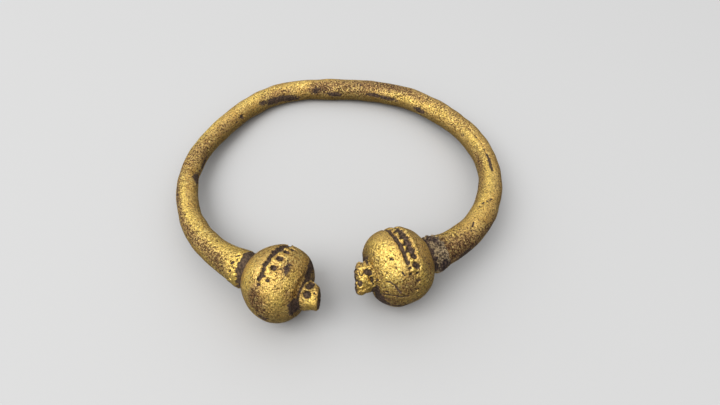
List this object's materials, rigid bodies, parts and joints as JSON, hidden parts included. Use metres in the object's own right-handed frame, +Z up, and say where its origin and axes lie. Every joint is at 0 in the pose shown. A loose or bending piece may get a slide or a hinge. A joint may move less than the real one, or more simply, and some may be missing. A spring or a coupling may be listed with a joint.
{
  "type": "bracelet",
  "caption": "Open cast bracelet: a hand-bent round rod whose ends swell into balls with a belt of pits and a short knob, facing each other across a gap.",
  "frame": {"origin": "on the surface it lies on, below the middle of its box", "axes": "+Z up from the surface it lies on, +Y from the opening towards the back of the hoop, +X to the right seen from the opening"},
  "size_m": [0.0724, 0.0728, 0.015],
  "materials": {
    "gilt_bronze": "worn satin gilding over copper alloy, with dark purple-brown patina in the hollows and a fine red-brown speckle"
  },
  "bodies": {
    "root": {"bracelet": "gilt_bronze"}
  },
  "joints": []
}
